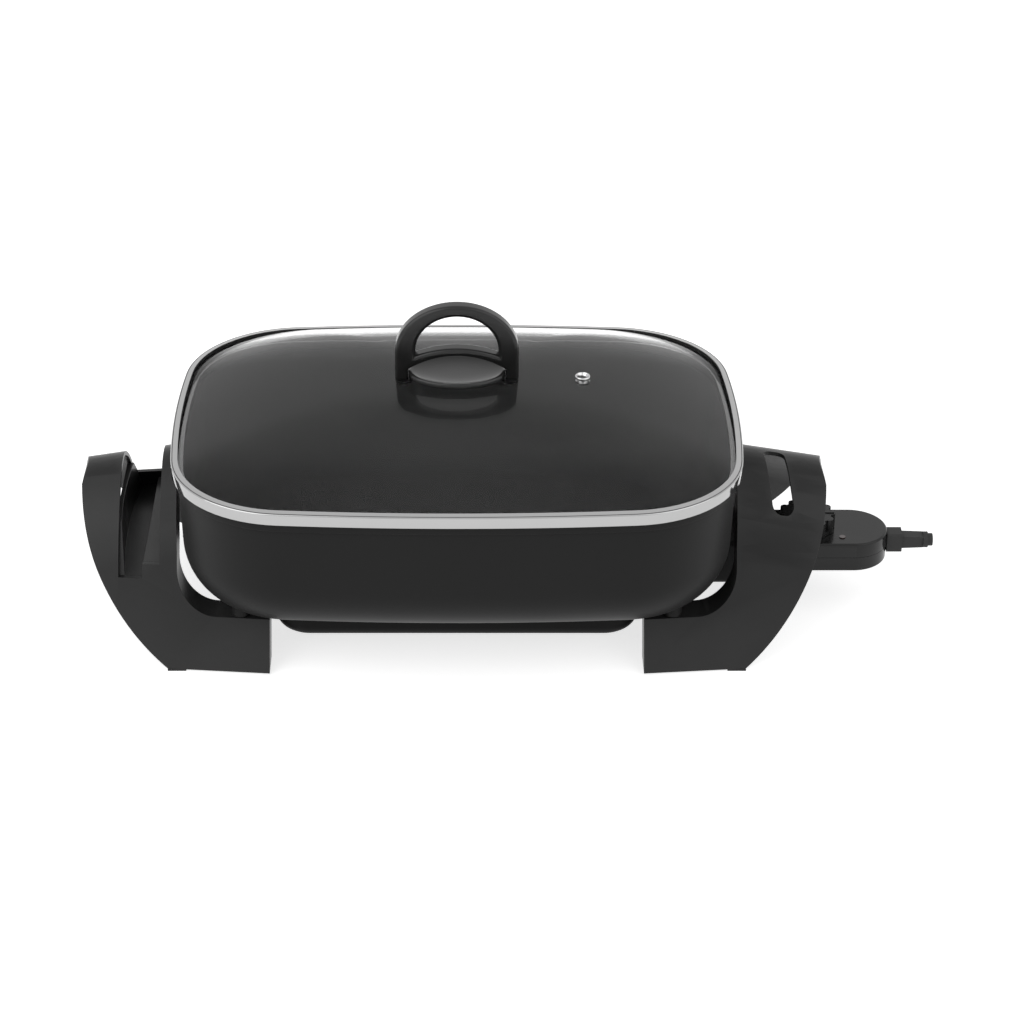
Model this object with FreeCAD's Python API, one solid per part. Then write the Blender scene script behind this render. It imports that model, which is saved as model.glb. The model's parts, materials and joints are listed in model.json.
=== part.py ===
import FreeCAD, Part
import math
import os
from FreeCAD import Vector

# Electric skillet: rectangular cast pan, lift-off glass lid, two arched handles
# that are also its legs, and a plug-in heat control. Millimetres, +Z up.
# The origin is the point of the table plane under the pan's centre. Places at the
# pan's two ends are given from the lid ring's end, ring_half_x.

# Lid ring, seen from above: four gentle side arcs and four corner arcs
ring_half_x = 200.0
ring_half_y = 147.0
ring_corner_r = 83.3
long_side_r = 1672.0
short_side_r = 782.0
ring_h = 9.4
ring_sheet = 0.8
ring_lip = 5.0

# Pan casting
pan_top_z = 139.7
pan_floor_z = 43.0
pan_rim_inset = 3.0
pan_rim_h = 6.0
pan_wall = 3.2
pan_floor = 4.0
pan_taper_deg = 2.0
pan_bottom_r = 45.0
wall_step = 1.4
boss_r = 6.5
rail_end_wall = 4.0
rail_reach = 9.0
hole_spare = 1.0
boss_from_end = 48.5
boss_x = ring_half_x - boss_from_end
boss_y = 82.0
cover_boss_r = 5.0
cover_boss_y = 74.0

# Lid
lid_seat_gap = 0.3
skirt_gap = 0.7
skirt_depth = 6.0
glass_t = 3.6
glass_inset = 1.8
glass_lift = 1.1
dome_h = 35.5
dome_power = 2.6
dome_top_scale = 0.12
dome_foot_lean = 0.45
screw_hole_gap = 0.4
vent_x = 88.5
vent_y = 4.0
vent_bore_r = 2.2
vent_tube_r = 3.6
vent_flange_r = 5.35
vent_flange_h = 1.5
vent_hole_gap = 0.1
vent_edge_r = 0.6
vent_sink = 0.8
vent_tail = 3.0
vent_nut_h = 2.4
vent_nut_sink = 0.6

# Lid handle: an arch with a low bridge over a thumb dish
arch_half_w = 43.3
arch_depth = 11.0
arch_spring_h = 19.0
arch_top_h = 54.7
arch_wall_side = 14.3
arch_wall_top = 8.3
bridge_top_h = 22.0
bridge_bottom_h = 16.1
bridge_end_h = 5.6
bridge_rise = 6.0
arch_edge_r = 2.6
knob_sink = 6.0
hole_drop = 2.0
ramp_over = 6.0
dish_half_x = 34.0
dish_half_y = 23.0
dish_h = 3.6
dish_hollow = 2.4
dish_gap = 0.3
dish_sink = 3.0
dish_edge_r = 1.3
dish_rim_w = 3.0
knob_screw_r = 2.0
knob_screw_out = 1.0
knob_screw_grip = 10.0
knob_hole_h = 12.0
washer_drop = 0.35
washer_rise = 0.8
knob_screw_head_r = 4.2
knob_screw_head_h = 2.4
knob_washer_r = 6.5
knob_washer_t = 1.2
screw_fit = 0.05

# Handles: a sheet bent over a ridge, sloping down outwards
ridge_z = 120.6
ridge_from_end = 5.0
ridge_x = ring_half_x + ridge_from_end
ridge_r = 35.0
ridge_end_deg = 30.0
flank_r = 130.0
flank_end_deg = 61.2
handle_slope = 0.165
handle_t = 3.0
handle_flange_w = 20.0
handle_hole_gap = 0.3
leg_run = 25.0
outer_turn_x = 0.65
outer_turn_z = 0.55
belly_mid = 0.7
handle_inner_from_end = 0.5
handle_inner_x = ring_half_x - handle_inner_from_end
handle_waist_from_end = 3.5
handle_waist_x = ring_half_x - handle_waist_from_end
handle_waist_z = 73.0
handle_bend_r = 28.0
arm_top_z = 34.5
arm_end_from_boss = 20.5
arm_end_x = boss_x - arm_end_from_boss
foot_gap = 1.3
foot_out_from_end = 3.0
foot_out_x = ring_half_x + foot_out_from_end
outer_edge_from_end = 62.0
outer_edge_x = ring_half_x + outer_edge_from_end
outer_edge_z = 104.0
outer_edge_r = 149.0
outer_corner_from_end = 52.0
outer_corner_x = ring_half_x + outer_corner_from_end
outer_corner_z = 119.0
pad_in_from_end = 10.0
pad_in_x = ring_half_x - pad_in_from_end
pad_w = 13.0
pad_depth = 7.0
pad_grip = 2.5
pad_proud = 0.4

# Window in the right handle, over the dial
slot_top_from_end = 25.5
slot_top_x = ring_half_x + slot_top_from_end
slot_low_from_end = 30.8
slot_low_x = ring_half_x + slot_low_from_end
slot_w = 15.2
slot_top_y = 4.0
slot_low_y = 43.8
slot_r = 6.0

# Lid rest in the left handle: a channel that holds the lid on its edge
rest_in_from_end = 9.0
rest_in_x = ring_half_x + rest_in_from_end
rest_step_from_end = 21.0
rest_step_x = ring_half_x + rest_step_from_end
rest_out_from_end = 38.0
rest_out_x = ring_half_x + rest_out_from_end
rest_end_from_end = 33.0
rest_end_x = ring_half_x + rest_end_from_end
rest_floor_z = 56.0
rest_step_z = 65.0
rest_t = 3.0
rest_fit = 0.1
rest_back_z = 72.0
rest_wall_h = 31.0
rest_side_grow = 4.0
rest_span = 70.0

# Heating, below the pan
conn_z = 38.5
element_r = 3.3
element_half_y = 62.0
element_bend_r = 24.0
cold_end_y = 12.0
cold_end_from_end = 50.0
cold_end_x = ring_half_x - cold_end_from_end
pin_r = 2.2
pin_tip_r = 1.3
pin_end_from_end = 6.0
pin_end_x = ring_half_x - pin_end_from_end
pin_base_r = 4.2
pin_base_from_end = 54.0
pin_base_x = ring_half_x - pin_base_from_end
pin_base_len = 9.0
rod_r = 2.5
rod_tip_fillet = 1.75
rod_tip_from_end = 80.0
rod_tip_x = ring_half_x - rod_tip_from_end
rod_bore_in_from_end = 83.0
rod_bore_in_x = ring_half_x - rod_bore_in_from_end
rod_boss_end_from_end = 42.0
rod_boss_end_x = ring_half_x - rod_boss_end_from_end
rod_boss_half_y = 6.0
rod_boss_low_z = 33.5
rod_fit = 0.06
cover_half_from_end = 72.5
cover_half_x = ring_half_x - cover_half_from_end
cover_half_y = 96.0
cover_boss_from_cover = 21.5
cover_boss_x = cover_half_x - cover_boss_from_cover
element_half_from_cover = 35.5
element_half_x = cover_half_x - element_half_from_cover
cover_corner_r = 25.0
cover_low_z = 22.8
cover_t = 1.4
cover_edge_r = 9.0
cover_hole_gap = 0.2
cover_notch = 12.0
cold_end_gap = 2.0
clip_w = 12.0
clip_t = 1.5
clip_x = 32.2

# Socket for the heat control
socket_end_from_end = 5.0
socket_end_x = ring_half_x + socket_end_from_end
socket_in_from_end = 70.5
socket_in_x = ring_half_x - socket_in_from_end
socket_half_y = 28.0
socket_low_z = 26.0
socket_top_z = 60.0
socket_t = 2.4
socket_corner_r = 4.0
bead_gap = 1.0

# Heat control
probe_half_y = 26.0
probe_low_z = 35.5
probe_top_z = 57.7
probe_split_z = 46.6
probe_split_gap = 0.2
probe_back_from_end = 26.0
probe_back_x = ring_half_x + probe_back_from_end
probe_end_from_end = 111.0
probe_end_x = ring_half_x + probe_end_from_end
probe_wall = 2.2
probe_edge_r = 1.6
nose_edge_r = 2.5
post_r = 3.2
post_back_x = 6.5
post_back_y = 18.0
post_front_x = 8.0
post_front_y = 15.0
post_grip = 7.0
pin_hole_gap = 1.2
nose_end_from_end = 13.0
nose_end_x = ring_half_x - nose_end_from_end
nose_half_y = 24.6
nose_low_z = 31.0
nose_top_z = 55.0
nose_overlap = 6.0
inner_start = 24.0
sleeve_wall = 1.1
sleeve_len = 16.0
sleeve_bore_len = 13.0
lug_half_w = 2.5
lug_half_t = 0.6
switch_half_y = 13.0
switch_base_h = 6.0
switch_reach = 12.0
switch_post_half = 9.0
switch_post_gap = 2.2
blade_half_w = 2.5
blade_low = 3.4
blade_t = 0.8
blade_in = 4.0
blade_pitch = 8.0
dial_from_end = 52.5
dial_x = ring_half_x + dial_from_end
dial_r = 20.5
dial_h = 11.0
dial_gap = 0.6
dial_lobes = 12
dial_lobe_r = 3.2
dial_skirt_h = 3.0
dial_grip_r = 17.4
dial_skirt_r = 19.4
dial_roof = 3.0
pointer_in = 6.0
pointer_half_w = 0.9
pointer_sink = 0.8
pointer_proud = 0.7
collar_w = 1.6
collar_h = 2.0
collar_gap = 0.2
shaft_r = 3.0
shaft_fit = 0.06
shaft_low_z = 50.5
gland_axis_z = 47.0
gland_bore_r = 3.5
gland_collar_len = 11.0
gland_collar_w = 13.0
gland_collar_h = 14.5
gland_sleeve_len = 15.5
gland_sleeve_w = 9.4
gland_sleeve_end_w = 8.6
gland_ring_len = 3.5
gland_ring_r = 5.8
gland_stub_len = 3.5
gland_stub_r = 4.6
gland_root = 5.0
gland_edge_r = 1.6
probe_screw_r = 1.5
probe_screw_head_r = 2.8
probe_screw_head_h = 1.4
probe_screw_sink = 1.6
probe_screw_spare = 4.0
probe_head_gap = 0.2
lens_from_end = 77.0
lens_x = ring_half_x + lens_from_end
lens_y = -15.5
lens_r = 2.2
lens_fit = 0.05
lens_sink = 4.0
lens_proud = 0.7

# Screws, each with a cross recess given as shares of its head
recess_len = 1.1
recess_w = 0.32
recess_left = 0.45
pan_screw_r = 2.5
pan_screw_head_r = 4.6
pan_screw_head_h = 3.2
pan_screw_len = 13.0
cover_screw_r = 1.6
cover_screw_head_r = 3.4
cover_screw_head_h = 1.8
cover_screw_len = 8.0

# Worked-out levels
lid_z = pan_top_z + lid_seat_gap
glass_edge_z = lid_z + ring_sheet + glass_lift + glass_t
knob_z = glass_edge_z + dome_h
handle_plate_z = arm_top_z - handle_t
nose_in_x = nose_end_x + probe_wall
switch_x = nose_end_x + inner_start
big = 400.0
over = 1.0
X_DIR = Vector(1, 0, 0)
Y_DIR = Vector(0, 1, 0)
Z_DIR = Vector(0, 0, 1)


def save(name, shape):
    shape.exportStep("parts/" + name + ".step")


def group(solids):
    return Part.makeCompound(solids)


def one(shape):
    # The single solid of a cut or a fuse, without seams left between coplanar faces
    return shape.removeSplitter().Solids[0]


def block(x0, x1, y0, y1, z0, z1):
    return Part.makeBox(x1 - x0, y1 - y0, z1 - z0, Vector(x0, y0, z0))


def rod(r, z0, z1, x=0.0, y=0.0):
    return Part.makeCylinder(r, z1 - z0, Vector(x, y, z0), Z_DIR)


def rod_x(r, x0, x1, y, z):
    return Part.makeCylinder(r, x1 - x0, Vector(x0, y, z), X_DIR)


def mirror_x(shape):
    return shape.mirror(Vector(0, 0, 0), X_DIR)


def four(x, y):
    return [(sx * x, sy * y) for sx in (-1, 1) for sy in (-1, 1)]


def corner_centre():
    # Where the corner arc touches both side arcs from inside
    ra = long_side_r - ring_corner_r
    rb = short_side_r - ring_corner_r
    ya = ring_half_y - long_side_r
    xb = ring_half_x - short_side_r
    dist = math.hypot(xb, ya)
    along = (ra * ra - rb * rb + dist * dist) / (2 * dist)
    across = math.sqrt(ra * ra - along * along)
    ex = xb / dist
    ey = -ya / dist
    return along * ex + across * ey, ya + along * ey - across * ex


def outline(inset, z, scale=1.0):
    # The lid ring's outline, set in by inset, at height z
    cx, cy = corner_centre()
    ya = ring_half_y - long_side_r
    xb = ring_half_x - short_side_r
    ua = math.atan2(cy - ya, cx)
    ub = math.atan2(cy, cx - xb)

    def point(px, py, r, angle):
        return (px + r * math.cos(angle), py + r * math.sin(angle))

    ra = long_side_r - inset
    rb = short_side_r - inset
    rc = ring_corner_r - inset
    right = point(xb, 0, rb, 0)
    low = point(cx, cy, rc, ub)
    mid = point(cx, cy, rc, 0.5 * (ua + ub))
    high = point(cx, cy, rc, ua)
    top = point(0, ya, ra, math.pi / 2)

    def at(p, sx, sy):
        return Vector(sx * p[0] * scale, sy * p[1] * scale, z)

    def arc(a, b, c):
        return Part.Arc(a, b, c).toShape()

    edges = [
        arc(at(low, 1, -1), at(right, 1, 1), at(low, 1, 1)),
        arc(at(low, 1, 1), at(mid, 1, 1), at(high, 1, 1)),
        arc(at(high, 1, 1), at(top, 1, 1), at(high, -1, 1)),
        arc(at(high, -1, 1), at(mid, -1, 1), at(low, -1, 1)),
        arc(at(low, -1, 1), at(right, -1, 1), at(low, -1, -1)),
        arc(at(low, -1, -1), at(mid, -1, -1), at(high, -1, -1)),
        arc(at(high, -1, -1), at(top, 1, -1), at(high, 1, -1)),
        arc(at(high, 1, -1), at(mid, 1, -1), at(low, 1, -1)),
    ]
    return Part.Wire(edges)


def plate(inset, z0, z1):
    return Part.Face(outline(inset, z0)).extrude(Vector(0, 0, z1 - z0))


def band(inset_out, inset_in, z0, z1):
    return plate(inset_out, z0, z1).cut(plate(inset_in, z0 - over, z1 + over))


def tapered(inset_top, inset_low, z0, z1):
    return Part.makeLoft([outline(inset_low, z0), outline(inset_top, z1)], True, True)


def low_edges(shape, z):
    # The edges that lie wholly at height z
    return [e for e in shape.Edges if abs(e.BoundBox.ZMax - z) + abs(e.BoundBox.ZMin - z) < 2e-3]


def bowl(grow_in, top_z, low_z, bottom_r):
    # A tapered block with a rounded bottom edge, set in by grow_in from the pan's outside
    drop = math.tan(math.radians(pan_taper_deg))
    upper = pan_rim_inset + wall_step + grow_in
    lower = upper + drop * (top_z - low_z)
    body = tapered(upper, lower, low_z, top_z)
    return body.makeFillet(bottom_r, low_edges(body, low_z))


def pan_outside():
    return bowl(0.0, pan_top_z, pan_floor_z, pan_bottom_r)


def pan_hollow():
    return bowl(pan_wall, pan_top_z + over, pan_floor_z + pan_floor, pan_bottom_r - pan_wall)


def make_pan():
    body = pan_outside()
    rim = plate(pan_rim_inset, pan_top_z - pan_rim_h, pan_top_z)
    body = body.fuse(rim)
    for x, y in four(boss_x, boss_y):
        body = body.fuse(rod(boss_r, arm_top_z, pan_floor_z + pan_bottom_r, x, y))
    for x, y in four(cover_boss_x, cover_boss_y):
        body = body.fuse(rod(cover_boss_r, cover_low_z + cover_t, pan_floor_z + over, x, y))
    rail = block(rod_bore_in_x - rail_end_wall, rod_boss_end_x, -rod_boss_half_y, rod_boss_half_y,
                 rod_boss_low_z, pan_floor_z + rail_reach)
    body = body.fuse(rail)
    body = body.cut(pan_hollow())
    body = body.cut(rod_x(rod_r + rod_fit, rod_bore_in_x, rod_boss_end_x + over, 0, conn_z))
    for x, y in four(boss_x, boss_y):
        tip = arm_top_z + pan_screw_len - handle_t
        body = body.cut(rod(pan_screw_r + screw_fit, arm_top_z - over, tip, x, y))
    for x, y in four(cover_boss_x, cover_boss_y):
        tip = cover_low_z + cover_screw_len + hole_spare
        body = body.cut(rod(cover_screw_r + screw_fit, cover_low_z, tip, x, y))
    return one(body)


def profile_points(inset):
    # Half of the arch seen from the side: ridge arc, flank arc, straight leg
    a = math.radians(ridge_end_deg)
    b = math.radians(flank_end_deg)
    rz = ridge_z - ridge_r
    fy = -(flank_r - ridge_r) * math.sin(a)
    fz = rz - (flank_r - ridge_r) * math.cos(a)
    r1 = ridge_r - inset
    r2 = flank_r - inset
    end = (fy + r2 * math.sin(b), fz + r2 * math.cos(b))
    drop = end[1] + leg_run
    return {
        "top": (0.0, rz + r1),
        "ridge_mid": (r1 * math.sin(a / 2), rz + r1 * math.cos(a / 2)),
        "ridge_end": (r1 * math.sin(a), rz + r1 * math.cos(a)),
        "flank_mid": (fy + r2 * math.sin((a + b) / 2), fz + r2 * math.cos((a + b) / 2)),
        "flank_end": end,
        "leg": (end[0] + drop / math.tan(b), end[1] - drop),
    }


def arch_y(z, x):
    # How far out of the middle the arch's outer face is at height z, on its straight leg
    p = profile_points(0.0)
    lift = z + handle_slope * (x - ridge_x)
    return p["flank_end"][0] + (p["flank_end"][1] - lift) / math.tan(math.radians(flank_end_deg))


def under_arch(inset):
    # Everything below the arch's sheet, set in by inset, along the whole handle
    p = profile_points(inset)
    x0 = arm_end_x - handle_flange_w
    length = outer_edge_x + handle_flange_w - x0

    def at(name, side):
        y, z = p[name]
        return Vector(x0, side * y, z + handle_slope * (ridge_x - x0))

    edges = [
        Part.makeLine(at("leg", -1), at("flank_end", -1)),
        Part.Arc(at("flank_end", -1), at("flank_mid", -1), at("ridge_end", -1)).toShape(),
        Part.Arc(at("ridge_end", -1), at("top", 1), at("ridge_end", 1)).toShape(),
        Part.Arc(at("ridge_end", 1), at("flank_mid", 1), at("flank_end", 1)).toShape(),
        Part.makeLine(at("flank_end", 1), at("leg", 1)),
        Part.makeLine(at("leg", 1), at("leg", -1)),
    ]
    return Part.Face(Part.Wire(edges)).extrude(Vector(length, 0, -handle_slope * length))


def front_wire(inset, outer_grow, belly):
    # The handle's edge seen from the front. inset moves the inner, arm and foot edges in,
    # outer_grow moves the outer edge out, and belly does so at and above its middle.
    top = ridge_z + ridge_r
    inner = handle_inner_x + inset
    waist = handle_waist_x + inset
    arm = arm_top_z - inset
    end = arm_end_x + inset
    foot = foot_gap + inset
    r = handle_bend_r + inset
    k = r * (1 - math.sqrt(0.5))
    chord_dx = outer_edge_x - foot_out_x
    chord_dz = outer_edge_z - foot_gap
    chord = math.hypot(chord_dx, chord_dz)
    sag = outer_edge_r - math.sqrt(outer_edge_r ** 2 - (chord / 2) ** 2)
    mid_x = (outer_edge_x + foot_out_x) / 2 + sag * chord_dz / chord
    mid_z = (outer_edge_z + foot_gap) / 2 - sag * chord_dx / chord

    def at(x, z):
        return Vector(x, -big / 2, z)

    foot_x = foot_out_x + outer_grow
    edge_x = outer_edge_x + outer_grow + belly
    corner_x = outer_corner_x + outer_grow + belly
    bow_x = mid_x + outer_grow + belly * belly_mid
    turn_x = corner_x + (edge_x - corner_x) * outer_turn_x
    turn_z = outer_edge_z + (outer_corner_z - outer_edge_z) * outer_turn_z
    edges = [
        Part.makeLine(at(inner, top), at(waist, handle_waist_z)),
        Part.makeLine(at(waist, handle_waist_z), at(waist, arm + r)),
        Part.Arc(at(waist, arm + r), at(waist - k, arm + k), at(waist - r, arm)).toShape(),
        Part.makeLine(at(waist - r, arm), at(end, arm)),
        Part.makeLine(at(end, arm), at(end, foot)),
        Part.makeLine(at(end, foot), at(foot_x, foot)),
        Part.Arc(at(foot_x, foot), at(bow_x, mid_z), at(edge_x, outer_edge_z)).toShape(),
        Part.Arc(at(edge_x, outer_edge_z), at(turn_x, turn_z), at(corner_x, outer_corner_z)).toShape(),
        Part.makeLine(at(corner_x, outer_corner_z), at(corner_x, top)),
        Part.makeLine(at(corner_x, top), at(inner, top)),
    ]
    return Part.Wire(edges)


def front_cut(inset, outer_grow, belly=0.0):
    return Part.Face(front_wire(inset, outer_grow, belly)).extrude(Vector(0, big, 0))


def plain_handle(belly):
    whole = under_arch(0.0)
    trim = front_cut(0.0, 0.0, belly)
    sheet = whole.cut(under_arch(handle_t)).common(trim)
    rim = trim.cut(front_cut(handle_t, big))
    flange = whole.cut(under_arch(handle_flange_w)).common(rim)
    body = sheet.fuse(flange)
    for y in (-boss_y, boss_y):
        body = body.cut(rod(pan_screw_r + handle_hole_gap, 0, arm_top_z + over, boss_x, y))
    return body


def window_cut():
    half = slot_w / 2
    points = [
        Vector(slot_top_x - half, slot_top_y, socket_top_z),
        Vector(slot_top_x + half, slot_top_y, socket_top_z),
        Vector(slot_low_x + half, -slot_low_y, socket_top_z),
        Vector(slot_low_x - half, -slot_low_y, socket_top_z),
    ]
    face = Part.Face(Part.makePolygon(points + points[:1]))
    solid = face.extrude(Vector(0, 0, big))
    upright = [e for e in solid.Edges if e.BoundBox.ZLength > big / 2]
    return solid.makeFillet(slot_r, upright)


def make_right_handle():
    return one(plain_handle(0.0).cut(window_cut()))


def rest_opening():
    # What the lid rest takes out of the handle's sheet: deeper in front than behind
    low = block(rest_step_x, rest_out_x, -big / 2, 0, rest_floor_z, big)
    high = block(rest_in_x, rest_out_x, -big / 2, 0, rest_step_z, big)
    back = block(rest_in_x, rest_out_x, -over, big / 2, rest_back_z, big)
    return low.fuse(high).fuse(back)


def rest_hollow():
    # The room for the lid's edge, whose outer wall bows out at mid-length
    y = big / 4

    def at(x, py):
        return Vector(x, py, rest_floor_z)

    wire = Part.Wire([
        Part.makeLine(at(rest_in_x, y), at(rest_in_x, -y)),
        Part.makeLine(at(rest_in_x, -y), at(rest_end_x, -y)),
        Part.makeLine(at(rest_end_x, -y), at(rest_end_x, -rest_span)),
        Part.Arc(at(rest_end_x, -rest_span), at(rest_out_x, 0), at(rest_end_x, rest_span)).toShape(),
        Part.makeLine(at(rest_end_x, rest_span), at(rest_end_x, y)),
        Part.makeLine(at(rest_end_x, y), at(rest_in_x, y)),
    ])
    room = Part.Face(wire).extrude(Vector(0, 0, big))
    return room.cut(block(0, rest_step_x, -big, big, 0, rest_step_z))


def make_left_handle():
    return mirror_x(one(plain_handle(rest_side_grow).cut(rest_opening())))


def make_lid_rest():
    # A stepped trough under the left handle's opening
    t = rest_t
    y = big / 2
    top = rest_floor_z + rest_wall_h
    low = block(rest_step_x - t, rest_out_x + t, -y, y, rest_floor_z - t, top)
    high = block(rest_in_x - t, rest_out_x + t, -y, y, rest_step_z - t, top)
    trough = low.fuse(high).cut(rest_hollow())
    return mirror_x(one(trough.common(under_arch(handle_t + rest_fit))))


def make_foot_pads():
    # Each pad lies under a leg's outer end and reaches up behind its sheet
    below = block(0, big, -big, big, 0, foot_gap)
    above = block(0, big, -big, big, foot_gap, big)
    sheet = under_arch(0.0).cut(under_arch(handle_t)).common(above)
    rim = front_cut(0.0, 0.0).common(under_arch(0.0).cut(under_arch(handle_flange_w)))
    ledge = rim.common(block(0, big, -big, big, foot_gap, foot_gap + handle_t))
    y_out = arch_y(foot_gap, pad_in_x + pad_w / 2)
    pad = block(pad_in_x, pad_in_x + pad_w, y_out - pad_depth, y_out + pad_proud, 0, foot_gap + pad_grip)
    pad = pad.common(under_arch(0.0).fuse(below)).cut(sheet).cut(ledge)
    pad = max(pad.Solids, key=lambda s: s.Volume)
    pair = [pad, pad.mirror(Vector(0, 0, 0), Y_DIR)]
    return group(pair + [mirror_x(p) for p in pair])


def screw_up(x, y, z, r, length, head_r, head_h):
    # A pan-head screw driven upwards, its head's bearing face at z, with a cross recess
    body = rod(r, z, z + length, x, y).fuse(rod(head_r, z - head_h, z, x, y))
    long = head_r * recess_len / 2
    short = head_r * recess_w / 2
    for a, b in ((long, short), (short, long)):
        body = body.cut(block(x - a, x + a, y - b, y + b, z - head_h - over, z - head_h * (1 - recess_left)))
    return one(body)


def make_handle_screws():
    z = handle_plate_z
    length = pan_screw_len - hole_spare
    return group([screw_up(x, y, z, pan_screw_r, length, pan_screw_head_r, pan_screw_head_h)
                  for x, y in four(boss_x, boss_y)])


def rounded_plate(half_x, half_y, r, z0, z1):
    solid = block(-half_x, half_x, -half_y, half_y, z0, z1)
    upright = [e for e in solid.Edges if abs(e.BoundBox.ZLength - (z1 - z0)) < 1e-6]
    return solid.makeFillet(r, upright)


def make_bottom_cover():
    outer = rounded_plate(cover_half_x, cover_half_y, cover_corner_r, cover_low_z, pan_floor_z)
    outer = outer.makeFillet(cover_edge_r, low_edges(outer, cover_low_z))
    inner = rounded_plate(cover_half_x - cover_t, cover_half_y - cover_t, cover_corner_r - cover_t,
                          cover_low_z + cover_t, pan_floor_z + over)
    inner = inner.makeFillet(cover_edge_r - cover_t, low_edges(inner, cover_low_z + cover_t))
    body = outer.cut(inner)
    for x, y in four(cover_boss_x, cover_boss_y):
        body = body.cut(rod(cover_screw_r + cover_hole_gap, 0, cover_low_z + cover_t + over, x, y))
    gap = cold_end_y + element_r + cold_end_gap
    notch_x = cover_half_x - cover_notch
    body = body.cut(block(notch_x, cover_half_x + over, -gap, gap, rod_boss_low_z - over, pan_floor_z + over))
    return one(body)


def make_cover_screws():
    return group([screw_up(x, y, cover_low_z, cover_screw_r, cover_screw_len, cover_screw_head_r,
                           cover_screw_head_h) for x, y in four(cover_boss_x, cover_boss_y)])


def element_path():
    # One loop under the pan whose two ends turn out towards the socket
    z = conn_z
    x = element_half_x
    y = element_half_y
    r = element_bend_r
    k = r * (1 - math.sqrt(0.5))
    q = cold_end_y
    n = r / 2
    m = n * (1 - math.sqrt(0.5))
    half = [
        (cold_end_x, q, x + n, q),
        (x + n, q, x + m, q + m, x, q + n),
        (x, q + n, x, y - r),
        (x, y - r, x - k, y - k, x - r, y),
        (x - r, y, r - x, y),
        (r - x, y, k - x, y - k, -x, y - r),
        (-x, y - r, -x, 0),
    ]
    edges = []
    for seg in half:
        pts = [Vector(seg[i], seg[i + 1], z) for i in range(0, len(seg), 2)]
        edges.append(Part.makeLine(*pts) if len(pts) == 2 else Part.Arc(*pts).toShape())
    for seg in reversed(half):
        pts = [Vector(seg[i], -seg[i + 1], z) for i in range(0, len(seg), 2)][::-1]
        edges.append(Part.makeLine(*pts) if len(pts) == 2 else Part.Arc(*pts).toShape())
    return Part.Wire(edges)


def make_element():
    path = element_path()
    section = Part.Wire([Part.makeCircle(element_r, Vector(cold_end_x, cold_end_y, conn_z), X_DIR)])
    return path.makePipeShell([section], True, False)


def make_terminals():
    pins = []
    for y in (-cold_end_y, cold_end_y):
        pin = rod_x(pin_r, cold_end_x, pin_end_x, y, conn_z)
        tip = [e for e in pin.Edges if abs(e.BoundBox.XMin - pin_end_x) < 1e-6 and e.BoundBox.XLength < 1e-6]
        pins.append(pin.makeFillet(pin_tip_r, tip))
    return group(pins)


def make_terminal_bushes():
    # Ceramic beads over the joints of element and pins
    beads = []
    for y in (-cold_end_y, cold_end_y):
        bead = rod_x(pin_base_r, pin_base_x, pin_base_x + pin_base_len, y, conn_z)
        bead = bead.cut(rod_x(element_r, pin_base_x - over, cold_end_x, y, conn_z))
        bead = bead.cut(rod_x(pin_r, cold_end_x - over, pin_base_x + pin_base_len + over, y, conn_z))
        beads.append(bead)
    return group(beads)


def make_element_clips():
    # Saddles that press the element against the pan's floor
    clips = []
    for sx, sy in ((1, 1), (-1, 1), (1, -1), (-1, -1)):
        x = sx * clip_x
        y = sy * element_half_y
        half = element_r + clip_t
        saddle = block(x - clip_w / 2, x + clip_w / 2, y - half, y + half, conn_z - half, pan_floor_z)
        room = block(x - clip_w, x + clip_w, y - element_r, y + element_r, conn_z, pan_floor_z)
        saddle = saddle.cut(room).cut(rod_x(element_r, x - clip_w, x + clip_w, y, conn_z))
        clips.append(one(saddle))
    return group(clips)


def make_socket():
    outer = block(socket_in_x, socket_end_x, -socket_half_y, socket_half_y, socket_low_z, socket_top_z)
    along = [e for e in outer.Edges if e.BoundBox.XLength > 10]
    outer = outer.makeFillet(socket_corner_r, along)
    t = socket_t
    inner = block(socket_in_x + t, socket_end_x + over, t - socket_half_y, socket_half_y - t,
                  socket_low_z + t, socket_top_z - t)
    body = outer.cut(inner).cut(pan_outside())
    gap = cold_end_y + pin_base_r + bead_gap
    mouth = block(socket_in_x - over, socket_in_x + t + over, -gap, gap, rod_boss_low_z - over, socket_top_z)
    body = body.cut(mouth)
    return one(body)


def dome_sections(depth):
    # Scaled outlines up the dome; depth moves them in along the surface's normal
    wires = []
    steps = (1.0, 0.985, 0.965, 0.94, 0.91, 0.87, 0.82, 0.76, 0.69, 0.61, 0.52, 0.42, 0.3, dome_top_scale)
    half = ring_half_x - glass_inset
    if depth > 0:
        foot_scale = 1 - depth * dome_foot_lean / half
        wires.append(outline(glass_inset, glass_edge_z - depth - over, foot_scale))
    for s in steps:
        z = glass_edge_z + dome_h * (1 - s ** dome_power)
        slope = dome_h * dome_power * s ** (dome_power - 1) / half
        length = math.hypot(slope, 1.0)
        scale = s - depth * slope / length / half
        wires.append(outline(glass_inset, z - depth / length, scale))
    return wires


def dome_solid(depth):
    return Part.makeLoft(dome_sections(depth), True, True)


def glass_blank():
    outer = dome_solid(0.0)
    inner = dome_solid(glass_t)
    foot = plate(glass_inset, glass_edge_z - glass_t, glass_edge_z)
    return outer.fuse(foot).cut(inner)


def dome_z(x):
    # The glass's outer height on the X axis
    s = x / (ring_half_x - glass_inset)
    return glass_edge_z + dome_h * (1 - s ** dome_power)


def make_glass(blank):
    body = blank.cut(rod(vent_tube_r + vent_hole_gap, 0, big, vent_x, vent_y))
    for x in (-knob_screw_x(), knob_screw_x()):
        body = body.cut(rod(knob_screw_r + screw_hole_gap, 0, big, x, 0))
    return one(body)


def knob_screw_x():
    return arch_half_w - arch_wall_side / 2 + knob_screw_out


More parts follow.
